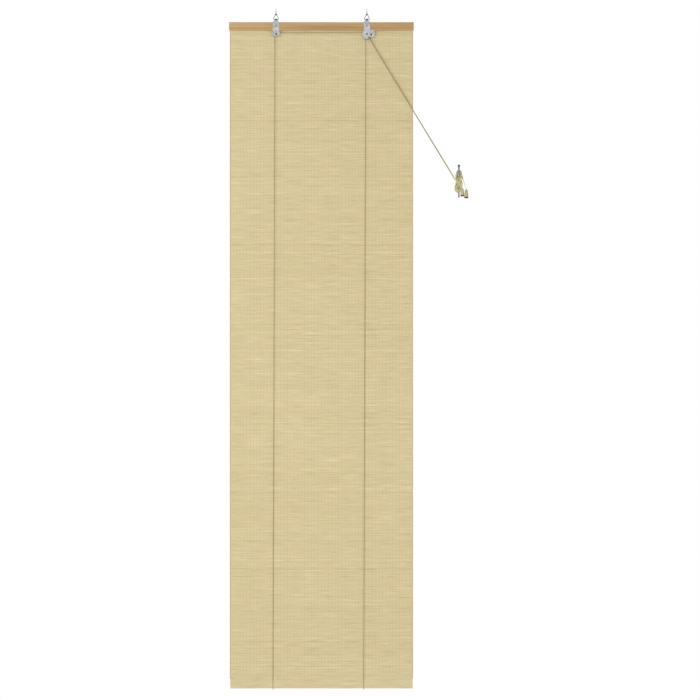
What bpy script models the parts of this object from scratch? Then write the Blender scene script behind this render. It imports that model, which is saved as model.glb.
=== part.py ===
"""Roll-up bamboo blind: head rail on two ceiling hooks, woven curtain, cord lock, draw cords, cleat.

World frame in metres: X right, Y away from the viewer, Z up. The origin is on the ceiling,
midway between the two hooks. Every size below is in millimetres and is scaled on building.
"""
import math

import bmesh
import bpy
from mathutils import Vector

MM = 0.001
GAP = 0.3
ROUND = 32

# hanging points
HOOK_X = 150.0
RING_WIRE_R = 1.1
RING_APEX_Z = -8.9
RING_APEX_HALF = 1.5
RING_WIDEST_Z = -24.2
RING_HALF_W = 8.8
RING_BAR_Z = -25.9
RING_BAR_HALF = 7.0
RING_CORNERS = (1.4, 1.4, 1.1, 1.1, 1.1, 1.1)
HOOK_WIRE_R = 1.3
HOOK_EYE_Z = -8.3
HOOK_EYE_R = 3.8
HOOK_EYE_ARC = (62.0, -200.0)
HOOK_NECK = ((0.0, 0.0), (0.0, -2.3), (0.4, -3.4), (1.0, -4.2))
HOOK_THREAD_TOP = 9.0

# head rail and curtain
RAIL_HALF = 304.5
RAIL_Y = (-10.5, -0.5)
RAIL_Z = (-64.3, -36.5)
RAIL_BEVEL = 1.2
PILOT_DEPTH = 7.5
CURTAIN_HALF = 301.5
CURTAIN_Y = (-0.2, 1.0)
CURTAIN_Z = (-2236.5, -38.5)
BINDING_HALF = 302.5
BINDING_WIDTH = 4.0
BINDING_WALL = 0.4
BINDING_CLEAR = 0.2
STAPLE_X = (-270.0, -95.0, 0.0, 95.0, 270.0)
STAPLE_Z = -49.0
STAPLE_HALF = 5.0
STAPLE_LEG = 2.4
STAPLE_WIRE_R = 0.5

# hem, which is the core of the roll
HEM_HALF = 297.5
HEM_Z = (-2236.2, -2170.5)
HEM_FRONT_Y = (1.3, 2.5)
HEM_BACK_Y = (8.3, 9.5)
CORE_Y = 5.4
CORE_Z = -2203.5
CORE_ROD_R = 1.5
SLEEVE_R = (1.9, 2.6)

# brackets, pulleys and cord lock
SHEET = 1.2
PLATE_FRONT_Y = -11.4
PLATE_BACK_Y = -3.6
SCREW_Z = -48.3
PLATE_TOP_Z = -65.4
PLATE_CUT_Y = (-14.0, -1.5)
CURL_R = 2.0
CURL_HALF = 3.7
SCREW_HOLE_R = 1.9
BRACKET_SCREW = (8.0, 1.5, 3.4)
STRAP_HOLE_X = 3.3
STRAP_HOLE_Z = -41.4
STRAP_HOLE_R = 1.0
PULLEY_Y = -7.5
PIN_R = 1.2
PIN_HOLE_R = 1.5
PIN_HEAD_R = 2.9
LEFT_PULLEY = (-148.8, -76.0)
LEFT_PITCH_R = 4.7
LEFT_OUTER_R = 5.4
LEFT_HALF = (1.2, 2.4)
GUIDE_PULLEY = (150.0, -75.3)
GUIDE_PITCH_R = 4.0
GUIDE_OUTER_R = 5.8
GUIDE_HALF = (2.5, 2.95)
CORD_SPREAD = 1.25
LOCK_PIN = (164.0, -78.1)
LOCK_TRAVEL = (2.4, 3.2)
LOCK_ROLLER_R = 8.2
LOCK_TOOTH = 0.6
LOCK_TEETH = 22
LOCK_ROLLER_HALF = 2.6
NOTCH = ((156.7, -87.6), (157.6, -96.0))
NOTCH_R = 2.5
NOTCH_CUT_Y = (-14.0, -9.5)

# cords
CORD_R = 1.0
LEG_LEFT = ((-153.5, -7.5, -84.0), (-160.2, -2.3, -2226.0))
LEG_RIGHT = ((146.0, -6.25, -94.6), (139.2, -2.3, -2226.0))
LEG_HOLE_R = 1.7
CORD_EXIT_Z = -83.6
DRAW_START_Z = -84.6
DRAW_END = {"a": (-13.5, -6.2, -551.0), "b": (-13.5, -3.6, -555.0)}
BACK_LEG_TOP = (3.2, -50.0)
BACK_LEG_LOW = (11.6, -2226.0)
SLING_DROP = 15.0
SLING_ROUND = 0.7
ANCHOR_DROP = 7.0
ANCHOR_REACH = 2.6

# cleat and what hangs on it
CLEAT_X = 453.3
CLEAT_Z = -561.4
CLEAT_HALF = 54.6
CLEAT_BAR_Y = -4.0
CLEAT_TIP_LEAN = 7.0
CLEAT_BAR_R = 3.5
CLEAT_TAPER = {"upper": 0.7, "lower": 1.3}
CLEAT_BALL_R = 3.9
WALL_Y = 24.0
POST_HALF = (4.2, 17.0)
FOOT_HALF = (8.0, 30.0)
FOOT_THICK = 3.0
CLEAT_SCREW_DZ = 24.0
CLEAT_SCREW = (28.0, 1.8, 3.8)
CLEAT_SCREW_HOLE_R = 2.1
HANK_CLEAR = 0.4
HANK_Z = -560.0
HANK_SECTIONS = (
    (-13.0, 6.0, 11.0), (-10.5, 8.5, 17.0), (-7.0, 10.5, 25.0), (-2.0, 12.0, 33.0),
    (4.0, 13.0, 36.0), (12.0, 13.0, 35.0), (16.0, 11.0, 31.0),
)
TASSEL_TOP = {"a": (464.5, -11.6, -585.2), "b": (477.3, -17.6, -589.3)}
TASSEL_SCALE = {"a": 0.96, "b": 1.04}
TAIL_START = {"a": (463.0, -12.0, -555.0), "b": (466.4, -8.5, -551.0)}
TASSEL_PROFILE = (
    (0.0, 0.0), (2.8, 0.0), (4.1, -1.2), (4.9, -5.0), (5.6, -10.0), (6.2, -16.0),
    (6.5, -22.0), (6.5, -26.4), (6.0, -27.0), (0.0, -27.0),
)

COLOURS = {
    "rail_wood": ((0.36, 0.19, 0.08), 0.0, 0.45),
    "bamboo": ((0.62, 0.50, 0.33), 0.0, 0.6),
    "binding": ((0.50, 0.40, 0.26), 0.0, 0.8),
    "zinc": ((0.62, 0.63, 0.65), 1.0, 0.3),
    "dark_steel": ((0.10, 0.10, 0.11), 1.0, 0.4),
    "nylon": ((0.78, 0.77, 0.72), 0.0, 0.45),
    "cord": ((0.66, 0.58, 0.44), 0.0, 0.8),
    "tassel_wood": ((0.70, 0.56, 0.38), 0.0, 0.5),
}


def clear_scene():
    for ob in list(bpy.data.objects):
        bpy.data.objects.remove(ob, do_unlink=True)


def make_material(name):
    colour, metallic, roughness = COLOURS[name]
    mat = bpy.data.materials.new(name)
    mat.use_nodes = True
    shader = mat.node_tree.nodes["Principled BSDF"]
    shader.inputs["Base Color"].default_value = (*colour, 1.0)
    shader.inputs["Metallic"].default_value = metallic
    shader.inputs["Roughness"].default_value = roughness
    return mat


def finish_solid(name, bm, slot, smooth=False):
    bmesh.ops.remove_doubles(bm, verts=bm.verts, dist=1e-5)
    bmesh.ops.recalc_face_normals(bm, faces=bm.faces)
    bmesh.ops.scale(bm, vec=(MM, MM, MM), verts=bm.verts)
    if bm.calc_volume(signed=True) < 0:
        bmesh.ops.reverse_faces(bm, faces=bm.faces)
    mesh = bpy.data.meshes.new(name)
    bm.to_mesh(mesh)
    bm.free()
    ob = bpy.data.objects.new(name, mesh)
    bpy.context.scene.collection.objects.link(ob)
    ob.data.materials.append(materials[slot])
    if smooth:
        mesh.shade_smooth()
        mesh.set_sharp_from_angle(angle=math.radians(35))
    return ob


def loft(bm, rings, closed=False):
    """Skin a list of equal-length rings of points; the two end rings are capped unless closed."""
    made = [[bm.verts.new(p) for p in ring] for ring in rings]
    pairs = list(zip(made, made[1:]))
    if closed:
        pairs.append((made[-1], made[0]))
    for low, high in pairs:
        for i in range(len(low)):
            j = (i + 1) % len(low)
            bm.faces.new((low[i], low[j], high[j], high[i]))
    if not closed:
        bm.faces.new(made[0])
        bm.faces.new(made[-1])


def box(name, low, high, slot, bevel=0.0):
    bm = bmesh.new()
    bmesh.ops.create_cube(bm, size=1.0)
    for v in bm.verts:
        v.co = Vector([low[k] + (v.co[k] + 0.5) * (high[k] - low[k]) for k in range(3)])
    if bevel:
        bmesh.ops.bevel(bm, geom=list(bm.edges), offset=bevel, segments=2, profile=0.5,
                        affect="EDGES")
    return finish_solid(name, bm, slot, smooth=bool(bevel))


def place(axis, radius, angle, height, centre):
    """A point at radius and angle round an axis through centre, and height along that axis."""
    a, b = radius * math.cos(angle), radius * math.sin(angle)
    local = {"X": (height, a, b), "Y": (b, height, a), "Z": (a, b, height)}[axis]
    return [c + d for c, d in zip(centre, local)]


def lathe(name, profile, centre, axis, slot, ring=False, count=ROUND):
    """Turn a profile of (radius, height): a closed loop if ring, else from pole to pole."""
    bm = bmesh.new()
    angles = [2 * math.pi * k / count for k in range(count)]
    rows = []
    for radius, height in profile:
        if radius == 0.0:
            rows.append([bm.verts.new(place(axis, 0.0, 0.0, height, centre))])
        else:
            rows.append([bm.verts.new(place(axis, radius, t, height, centre)) for t in angles])
    pairs = list(zip(rows, rows[1:]))
    if ring:
        pairs.append((rows[-1], rows[0]))
    for low, high in pairs:
        for i in range(count):
            j = (i + 1) % count
            if len(low) == 1:
                bm.faces.new((low[0], high[j], high[i]))
            elif len(high) == 1:
                bm.faces.new((low[i], low[j], high[0]))
            else:
                bm.faces.new((low[i], low[j], high[j], high[i]))
    return finish_solid(name, bm, slot, smooth=True)


def tube(name, points, radius, slot, cyclic=False, detail=3):
    """A round wire or cord: a poly curve with a bevel and filled ends."""
    curve = bpy.data.curves.new(name, "CURVE")
    curve.dimensions = "3D"
    curve.bevel_depth = radius * MM
    curve.bevel_resolution = detail
    curve.use_fill_caps = True
    spline = curve.splines.new("POLY")
    spline.points.add(len(points) - 1)
    for target, p in zip(spline.points, points):
        target.co = (p[0] * MM, p[1] * MM, p[2] * MM, 1.0)
    spline.use_cyclic_u = cyclic
    ob = bpy.data.objects.new(name, curve)
    bpy.context.scene.collection.objects.link(ob)
    curve.materials.append(materials[slot])
    return ob


def cutter(name, build):
    """A hidden tool body; build fills its bmesh in millimetres."""
    bm = bmesh.new()
    build(bm)
    ob = finish_solid(name, bm, "zinc")
    ob.hide_render = True
    ob.display_type = "WIRE"
    return ob


def boolean(ob, tool, operation="DIFFERENCE"):
    mod = ob.modifiers.new(tool.name, "BOOLEAN")
    mod.operation = operation
    mod.solver = "EXACT"
    mod.object = tool


def add_rod(bm, axis, centre, low, high, radius, count=ROUND):
    """A plain round rod in bm from low to high along an axis."""
    angles = [2 * math.pi * k / count for k in range(count)]
    loft(bm, [[place(axis, radius, t, h, centre) for t in angles] for h in (low, high)])


def bent_strip(name, path, centre_x, slot):
    """Sheet metal bent along a (y, z) path; each point also gives its left and right edge."""
    rings = []
    for i, (y, z, left, right) in enumerate(path):
        before = Vector((y - path[i - 1][0], z - path[i - 1][1])) if i else None
        after = None
        if i + 1 < len(path):
            after = Vector((path[i + 1][0] - y, path[i + 1][1] - z))
        dirs = [d.normalized() for d in (before, after) if d is not None]
        normals = [Vector((-d.y, d.x)) for d in dirs]
        mid = sum(normals, Vector((0.0, 0.0))).normalized()
        n = mid * (SHEET / 2 / mid.dot(normals[0]))
        rings.append([
            (centre_x + left, y + n.x, z + n.y), (centre_x + right, y + n.x, z + n.y),
            (centre_x + right, y - n.x, z - n.y), (centre_x + left, y - n.x, z - n.y),
        ])
    bm = bmesh.new()
    loft(bm, rings)
    return finish_solid(name, bm, slot)


def arc(centre, radius, start, end, steps):
    """Points (u, v) on a circle, angles in degrees."""
    out = []
    for k in range(steps + 1):
        t = math.radians(start + (end - start) * k / steps)
        out.append((centre[0] + radius * math.cos(t), centre[1] + radius * math.sin(t)))
    return out


def hooks_and_rings():
    corners = (
        (-RING_APEX_HALF, RING_APEX_Z), (RING_APEX_HALF, RING_APEX_Z),
        (RING_HALF_W, RING_WIDEST_Z), (RING_BAR_HALF, RING_BAR_Z),
        (-RING_BAR_HALF, RING_BAR_Z), (-RING_HALF_W, RING_WIDEST_Z),
    )
    loop = rounded_loop(corners, RING_CORNERS, 5)
    for side, x in (("left", -HOOK_X), ("right", HOOK_X)):
        tube(f"{side}_ring", [(x + u, 0.0, v) for u, v in loop], RING_WIRE_R, "zinc",
             cyclic=True)
        eye = arc((0.0, HOOK_EYE_Z), HOOK_EYE_R, *HOOK_EYE_ARC, 22)
        stem = [(0.0, HOOK_THREAD_TOP), *HOOK_NECK]
        tube(f"{side}_hook", [(x, y, z) for y, z in stem + eye], HOOK_WIRE_R, "dark_steel")


def rounded_loop(corners, radii, steps):
    """A closed outline with each corner rounded by a quadratic curve."""
    out = []
    for i, (corner, radius) in enumerate(zip(corners, radii)):
        here = Vector(corner)
        before = (Vector(corners[i - 1]) - here).normalized() * radius
        after = (Vector(corners[(i + 1) % len(corners)]) - here).normalized() * radius
        for k in range(steps + 1):
            t = k / steps
            p = (here + before) * (1 - t) ** 2 + here * 2 * t * (1 - t) + (here + after) * t * t
            out.append((p.x, p.y))
    return out


def rail_and_curtain():
    rail = box("head_rail", (-RAIL_HALF, RAIL_Y[0], RAIL_Z[0]),
               (RAIL_HALF, RAIL_Y[1], RAIL_Z[1]), "rail_wood", bevel=RAIL_BEVEL)

    def pilot_holes(bm):
        for x in (-HOOK_X, HOOK_X):
            add_rod(bm, "Y", (x, 0.0, SCREW_Z), RAIL_Y[0] - 2.0,
                    RAIL_Y[0] + PILOT_DEPTH, SCREW_HOLE_R)

    boolean(rail, cutter("cut_pilot_holes", pilot_holes))
    box("curtain", (-CURTAIN_HALF, CURTAIN_Y[0], CURTAIN_Z[0]),
        (CURTAIN_HALF, CURTAIN_Y[1], CURTAIN_Z[1]), "bamboo")
    inner = (CURTAIN_Y[0] - BINDING_CLEAR, CURTAIN_Y[1] + BINDING_CLEAR)
    outer = (inner[0] - BINDING_WALL, inner[1] + BINDING_WALL)
    web = BINDING_HALF - BINDING_WALL
    edge = BINDING_HALF - BINDING_WIDTH
    for side, sign in (("left", -1), ("right", 1)):
        outline = [(BINDING_HALF, outer[0]), (BINDING_HALF, outer[1]), (edge, outer[1]),
                   (edge, inner[1]), (web, inner[1]), (web, inner[0]), (edge, inner[0]),
                   (edge, outer[0])]
        bm = bmesh.new()
        loft(bm, [[(sign * x, y, z) for x, y in outline]
                  for z in (CURTAIN_Z[0], RAIL_Z[0] - 1.0)])
        finish_solid(f"{side}_edge_binding", bm, "binding")
    y, foot = CURTAIN_Y[1] + GAP + STAPLE_WIRE_R, STAPLE_Z - STAPLE_LEG
    for k, x in enumerate(STAPLE_X, 1):
        left, right = x - STAPLE_HALF, x + STAPLE_HALF
        tube(f"rail_staple_{k}", [(left, y, foot), (left, y, STAPLE_Z), (right, y, STAPLE_Z),
                                  (right, y, foot)], STAPLE_WIRE_R, "zinc", detail=2)


def hem_and_core():
    box("hem_front", (-HEM_HALF, HEM_FRONT_Y[0], HEM_Z[0]), (HEM_HALF, HEM_FRONT_Y[1], HEM_Z[1]),
        "bamboo")
    box("hem_back", (-HEM_HALF, HEM_BACK_Y[0], HEM_Z[0]), (HEM_HALF, HEM_BACK_Y[1], HEM_Z[1]),
        "bamboo")
    low, high = -HEM_HALF, HEM_HALF
    lathe("core_sleeve", [(SLEEVE_R[0], low), (SLEEVE_R[1], low), (SLEEVE_R[1], high),
                          (SLEEVE_R[0], high)], (0.0, CORE_Y, CORE_Z), "X", "binding", ring=True)
    rod = CORE_ROD_R
    lathe("core_rod", [(0.0, low), (rod - 0.3, low), (rod, low + 0.3), (rod, high - 0.3),
                       (rod - 0.3, high), (0.0, high)], (0.0, CORE_Y, CORE_Z), "X", "tassel_wood")


def neck():
    """The strap's path from the rail's front over its top into the curl round the ring."""
    path = [(PLATE_FRONT_Y, -35.4, -10.2, 10.2), (-10.7, -34.1, -9.0, 9.0),
            (-9.4, -32.9, -6.9, 6.9), (-5.4, -30.1, -5.3, 5.3), (-2.2, -28.3, -4.2, 4.2)]
    curl = arc((0.0, RING_BAR_Z), CURL_R, -90, 175, 14)
    return path + [(y, z, -CURL_HALF, CURL_HALF) for y, z in curl]


def strap_holes(bm, x):
    """The screw hole and the two small holes above it, in the strap only."""
    front, back = PLATE_FRONT_Y - 2.5, RAIL_Y[0] - 0.1
    add_rod(bm, "Y", (x, 0.0, SCREW_Z), front, back, SCREW_HOLE_R)
    for sign in (-1, 1):
        add_rod(bm, "Y", (x + sign * STRAP_HOLE_X, 0.0, STRAP_HOLE_Z), front, back, STRAP_HOLE_R, 16)


def left_bracket():
    """One strip: up the pulley's back, round under it, and up the front to the neck."""
    path = [
        (PLATE_BACK_Y, PLATE_TOP_Z, -10.0, 10.0), (PLATE_BACK_Y, -81.0, -10.0, 10.0),
        (-4.9, -82.4, -10.0, 10.0), (-10.1, -82.4, -12.4, 12.4),
        (PLATE_FRONT_Y, -81.0, -12.8, 12.8), (PLATE_FRONT_Y, -78.5, -12.4, 12.5),
        (PLATE_FRONT_Y, -70.0, -10.9, 12.0), (PLATE_FRONT_Y, -62.0, -10.5, 10.8),
    ]
    bracket = bent_strip("left_bracket", path + neck(), -HOOK_X, "zinc")

    def holes(bm):
        strap_holes(bm, -HOOK_X)
        add_rod(bm, "Y", (LEFT_PULLEY[0], 0.0, LEFT_PULLEY[1]), *PLATE_CUT_Y, PIN_HOLE_R)
        add_rod(bm, "Z", (LEG_LEFT[0][0], LEG_LEFT[0][1], 0.0), -84.5, -80.5, LEG_HOLE_R)

    boolean(bracket, cutter("cut_left_bracket", holes))


def right_bracket():
    """As the left one, with a lobe under the guide pulley and a wing that carries the lock."""
    path = [
        (PLATE_BACK_Y, PLATE_TOP_Z, -12.0, 24.0), (PLATE_BACK_Y, -86.0, -12.5, 21.0),
        (PLATE_BACK_Y, -91.5, -9.0, 5.0), (-4.9, -92.9, -7.0, 3.0),
        (-10.1, -92.9, -7.0, 3.0), (PLATE_FRONT_Y, -91.5, -8.8, 3.6),
        (PLATE_FRONT_Y, -88.2, -11.6, 4.4), (PLATE_FRONT_Y, -87.4, -12.1, 18.5),
        (PLATE_FRONT_Y, -84.5, -13.4, 22.4), (PLATE_FRONT_Y, -80.0, -14.1, 25.2),
        (PLATE_FRONT_Y, -75.0, -14.2, 26.2), (PLATE_FRONT_Y, -66.5, -13.2, 26.2),
        (PLATE_FRONT_Y, -63.4, -11.8, 25.4), (PLATE_FRONT_Y, -62.4, -10.9, 24.0),
        (PLATE_FRONT_Y, -61.6, -10.3, 10.3),
    ]
    bracket = bent_strip("right_bracket", path + neck(), HOOK_X, "zinc")

    def holes(bm):
        strap_holes(bm, HOOK_X)
        add_rod(bm, "Y", (GUIDE_PULLEY[0], 0.0, GUIDE_PULLEY[1]), *PLATE_CUT_Y, PIN_HOLE_R)
        lock_end = (LOCK_PIN[0] + LOCK_TRAVEL[0], LOCK_PIN[1] + LOCK_TRAVEL[1])
        lock_slot = slot(LOCK_PIN, lock_end, PIN_HOLE_R)
        loft(bm, [[(x, y, z) for x, z in lock_slot] for y in PLATE_CUT_Y])
        leg_x, leg_y, _ = LEG_RIGHT[0]
        leg_hole = slot((leg_x, leg_y), (leg_x, leg_y - 0.9), LEG_HOLE_R)
        loft(bm, [[(x, y, z) for x, y in leg_hole] for z in (-95.0, -91.1)])

    def notch(bm):
        loft(bm, [[(x, y, z) for x, z in slot(*NOTCH, NOTCH_R)] for y in NOTCH_CUT_Y])

    boolean(bracket, cutter("cut_right_bracket", holes))
    boolean(bracket, cutter("cut_cord_notch", notch))


def slot(start, end, radius, steps=8):
    """A stadium outline round the segment from start to end."""
    heading = math.degrees(math.atan2(end[1] - start[1], end[0] - start[0]))
    first = arc(end, radius, heading - 90, heading + 90, steps)
    second = arc(start, radius, heading + 90, heading + 270, steps)
    return first + second


def pin(name, centre, slot_name="zinc"):
    """A rivet that crosses both plates, with a head outside each."""
    front, back = PLATE_FRONT_Y - SHEET / 2 - GAP, PLATE_BACK_Y + SHEET / 2 + GAP
    head = PIN_HEAD_R
    profile = [(0.0, front - 1.4), (head * 0.6, front - 1.1), (head, front - 0.3), (head, front),
               (PIN_R, front), (PIN_R, back), (2.3, back), (2.3, back + 0.6), (0.0, back + 0.9)]
    lathe(name, profile, (centre[0], 0.0, centre[1]), "Y", slot_name)


def wood_screw(name, centre, seat, length, radius, head_radius):
    """A domed screw that points to +Y, its head seated just in front of seat."""
    face = seat - GAP
    profile = [(0.0, face - 1.7), (head_radius * 0.5, face - 1.5), (head_radius * 0.9, face - 0.7),
               (head_radius, face - 0.1), (head_radius, face), (radius, face),
               (radius, face + length - 4.0), (radius * 0.5, face + length - 1.0),
               (0.0, face + length)]
    lathe(name, profile, (centre[0], 0.0, centre[1]), "Y", "zinc")


def running_gear():
    pin("left_pulley_pin", LEFT_PULLEY)
    pin("guide_pulley_pin", GUIDE_PULLEY)
    pin("lock_pin", LOCK_PIN)
    for side, x in (("left", -HOOK_X), ("right", HOOK_X)):
        wood_screw(f"{side}_bracket_screw", (x, SCREW_Z), PLATE_FRONT_Y - SHEET / 2,
                   *BRACKET_SCREW)
    pulley("left_pulley", LEFT_PULLEY, LEFT_OUTER_R, LEFT_PITCH_R, *LEFT_HALF)
    pulley("guide_pulley", GUIDE_PULLEY, GUIDE_OUTER_R, GUIDE_PITCH_R, *GUIDE_HALF)
    knurled_roller()


def pulley(name, centre, outer, pitch, floor_half, half):
    """A grooved wheel: pitch is the radius that the cord's centre-line runs at, floor_half and
    half are half the widths of the groove's floor and of the wheel."""
    floor = pitch - CORD_R - GAP
    lip = min(half - 0.35, floor_half + 0.8)
    profile = [(PIN_HOLE_R, -half), (outer, -half), (outer, -lip), (floor, -floor_half),
               (floor, floor_half), (outer, lip), (outer, half), (PIN_HOLE_R, half)]
    lathe(name, profile, (centre[0], PULLEY_Y, centre[1]), "Y", "nylon", ring=True)


def knurled_roller():
    """The lock's toothed roller, which bites the cords."""
    centre = (LOCK_PIN[0], PULLEY_Y, LOCK_PIN[1])
    bm = bmesh.new()
    rings = []
    half = LOCK_ROLLER_HALF
    for toothed, y in ((True, -half), (True, half), (False, half), (False, -half)):
        ring = []
        for k in range(LOCK_TEETH * 2):
            tooth = LOCK_ROLLER_R if k % 2 else LOCK_ROLLER_R - LOCK_TOOTH
            radius = tooth if toothed else PIN_HOLE_R
            ring.append(place("Y", radius, math.pi * k / LOCK_TEETH, y, centre))
        rings.append(ring)
    loft(bm, rings, closed=True)
    finish_solid("lock_roller", bm, "zinc")


def lift_cords():
    """The two lift cords: their runs over the pulleys, legs, end knots, anchors and slings."""
    near, far = PULLEY_Y, PULLEY_Y - CORD_SPREAD
    left = arc(LEFT_PULLEY, LEFT_PITCH_R, 180, 90, 6)
    right = arc(GUIDE_PULLEY, GUIDE_PITCH_R, 90, 0, 6)
    run = [(LEFT_PULLEY[0] - LEFT_PITCH_R, near, LEG_LEFT[0][2] + GAP)]
    run += [(x, near, z) for x, z in left]
    run += [(x, far, z) for x, z in right]
    exit_x = GUIDE_PULLEY[0] + GUIDE_PITCH_R
    run.append((exit_x, far, CORD_EXIT_Z))
    tube("lift_cord_run", run, CORD_R, "cord", detail=2)
    over = arc(GUIDE_PULLEY, GUIDE_PITCH_R, 180, 0, 12)
    near = PULLEY_Y + CORD_SPREAD
    turn = [(LEG_RIGHT[0][0], near, LEG_RIGHT[0][2] + GAP)]
    turn += [(x, near, z) for x, z in over] + [(exit_x, near, CORD_EXIT_Z)]
    tube("lift_cord_turn", turn, CORD_R, "cord", detail=2)
    for side, leg in (("left", LEG_LEFT), ("right", LEG_RIGHT)):
        tube(f"{side}_front_leg", list(leg), CORD_R, "cord", detail=2)
        top = (leg[0][0], BACK_LEG_TOP[0], BACK_LEG_TOP[1])
        low = (leg[1][0], BACK_LEG_LOW[0], BACK_LEG_LOW[1])
        tube(f"{side}_back_leg", [top, low], CORD_R, "cord", detail=2)
        lathe(f"{side}_end_knot", [(0.0, 3.6), (1.8, 3.1), (2.5, 1.8), (1.8, 0.6), (0.0, 0.3)],
              (top[0], top[1] + 0.4, top[2]), "Z", "cord", count=16)
        back, reach = CURTAIN_Y[1] + GAP + STAPLE_WIRE_R, ANCHOR_REACH
        crown = BACK_LEG_TOP[0] + CORD_R + GAP + STAPLE_WIRE_R
        z = BACK_LEG_TOP[1] - ANCHOR_DROP
        tube(f"{side}_anchor_staple", [(top[0] - reach, back, z), (top[0] - reach, crown - 0.4, z),
                                       (top[0] - reach + 0.4, crown, z),
                                       (top[0] + reach - 0.4, crown, z),
                                       (top[0] + reach, crown - 0.4, z), (top[0] + reach, back, z)],
             STAPLE_WIRE_R, "zinc", detail=2)
        front_y, back_y, z = leg[1][1], BACK_LEG_LOW[0], leg[1][2]
        mid, half = (front_y + back_y) / 2, (back_y - front_y) / 2
        drop = z - SLING_DROP + half * SLING_ROUND
        bow = [(mid + half * math.cos(t), drop + half * SLING_ROUND * math.sin(t))
               for t in [math.pi + math.pi * k / 12 for k in range(13)]]
        sling = [(leg[1][0], front_y, z - GAP)] + [(leg[1][0], y, w) for y, w in bow]
        sling.append((leg[1][0], back_y, z - GAP))
        tube(f"{side}_sling", sling, CORD_R, "cord", detail=2)


def cleat_bar(bm, grow):
    """The horns and the bar between them, as rings of points along a shallow curve."""
    rings = []
    for k in range(-16, 17):
        t = math.sin(k / 16 * math.pi / 2)
        reach = abs(t)
        z = CLEAT_Z + t * (CLEAT_HALF + grow)
        y = CLEAT_BAR_Y - CLEAT_TIP_LEAN * reach ** 2.5
        radius = CLEAT_BAR_R - CLEAT_TAPER["upper" if t > 0 else "lower"] * reach
        if t > 0.86:
            radius += (CLEAT_BALL_R - radius) * max(0.0, 1 - ((reach - 0.93) / 0.07) ** 2)
        radius = radius if abs(k) < 16 else 1.2
        rings.append([place("Z", radius + grow, 2 * math.pi * j / 24, 0.0, (CLEAT_X, y, z))
                      for j in range(24)])
    loft(bm, rings)


def cleat_post(bm, grow):
    x, z = POST_HALF[0] + grow, POST_HALF[1] + grow
    outline = rounded_loop(((-x, -z), (x, -z), (x, z), (-x, z)), (3.5, 3.5, 3.5, 3.5), 4)
    rings = []
    for y, scale in ((CLEAT_BAR_Y, 1.0), (8.0, 0.86), (WALL_Y - FOOT_THICK + 0.5, 1.15)):
        rings.append([(CLEAT_X + u, y, CLEAT_Z + v * scale) for u, v in outline])
    loft(bm, rings)


def cleat_foot(bm):
    x, z = FOOT_HALF
    outline = rounded_loop(((-x, -z), (x, -z), (x, z), (-x, z)), (7.0, 7.0, 7.0, 7.0), 6)
    edge = rounded_loop(((-x + 1, -z + 1), (x - 1, -z + 1), (x - 1, z - 1), (-x + 1, z - 1)),
                        (6.0, 6.0, 6.0, 6.0), 6)
    loft(bm, [[(CLEAT_X + u, y, CLEAT_Z + v) for u, v in ring]
              for ring, y in ((edge, WALL_Y - FOOT_THICK), (outline, WALL_Y - FOOT_THICK + 1.0),
                              (outline, WALL_Y))])


def cleat_and_hank():
    bm = bmesh.new()
    cleat_bar(bm, 0.0)
    cleat = finish_solid("cleat", bm, "zinc", smooth=True)
    boolean(cleat, cutter("join_cleat_post", lambda bm: cleat_post(bm, 0.0)), "UNION")
    boolean(cleat, cutter("join_cleat_foot", cleat_foot), "UNION")

    def screw_holes(bm):
        for sign in (-1, 1):
            add_rod(bm, "Y", (CLEAT_X, 0.0, CLEAT_Z + sign * CLEAT_SCREW_DZ),
                    WALL_Y - FOOT_THICK - 2.0, WALL_Y + 2.0, CLEAT_SCREW_HOLE_R)

    boolean(cleat, cutter("cut_cleat_screws", screw_holes))
    for name, sign in (("upper", 1), ("lower", -1)):
        wood_screw(f"cleat_screw_{name}", (CLEAT_X, CLEAT_Z + sign * CLEAT_SCREW_DZ),
                   WALL_Y - FOOT_THICK, *CLEAT_SCREW)
    bm = bmesh.new()
    rings = []
    for y, half_x, half_z in HANK_SECTIONS:
        rings.append([(CLEAT_X + half_x * signed_power(math.cos(2 * math.pi * k / 40), 0.8), y,
                       HANK_Z + half_z * signed_power(math.sin(2 * math.pi * k / 40), 0.8))
                      for k in range(40)])
    loft(bm, rings)
    hank = finish_solid("cord_hank", bm, "cord", smooth=True)
    boolean(hank, cutter("cut_hank_bar", lambda bm: cleat_bar(bm, HANK_CLEAR)))
    boolean(hank, cutter("cut_hank_post", lambda bm: cleat_post(bm, HANK_CLEAR)))


def signed_power(value, power):
    return math.copysign(abs(value) ** power, value)


def draw_cords_and_tassels():
    exit_x = GUIDE_PULLEY[0] + GUIDE_PITCH_R
    for key, start_x, start_y in (("a", exit_x + 0.3, PULLEY_Y - CORD_SPREAD),
                                  ("b", exit_x - 0.1, PULLEY_Y + CORD_SPREAD)):
        end_x, end_y, end_z = DRAW_END[key]
        tube(f"draw_cord_{key}", [(start_x, start_y, DRAW_START_Z), (CLEAT_X + end_x, end_y, end_z)],
             CORD_R, "cord", detail=2)
        start, top, scale = TAIL_START[key], TASSEL_TOP[key], TASSEL_SCALE[key]
        end = (top[0], top[1], top[2] + GAP)
        mid = (end[0] * 0.75 + start[0] * 0.25, end[1] * 0.85 + start[1] * 0.15,
               (start[2] + end[2]) / 2)
        tube(f"tail_cord_{key}", [start, mid, end], CORD_R, "cord", detail=2)
        lathe(f"tassel_{key}", [(r * scale, h * scale) for r, h in TASSEL_PROFILE], top, "Z",
              "tassel_wood")


clear_scene()
materials = {name: make_material(name) for name in COLOURS}
hooks_and_rings()
rail_and_curtain()
hem_and_core()
left_bracket()
right_bracket()
running_gear()
lift_cords()
cleat_and_hank()
draw_cords_and_tassels()
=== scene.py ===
"""Looks of the roll-up bamboo blind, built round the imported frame.

Metres, X right, Y away from the room, Z up. Only the turns on the cleat are laid out in
millimetres, from the cleat's centre.
"""
import math
import random

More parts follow.
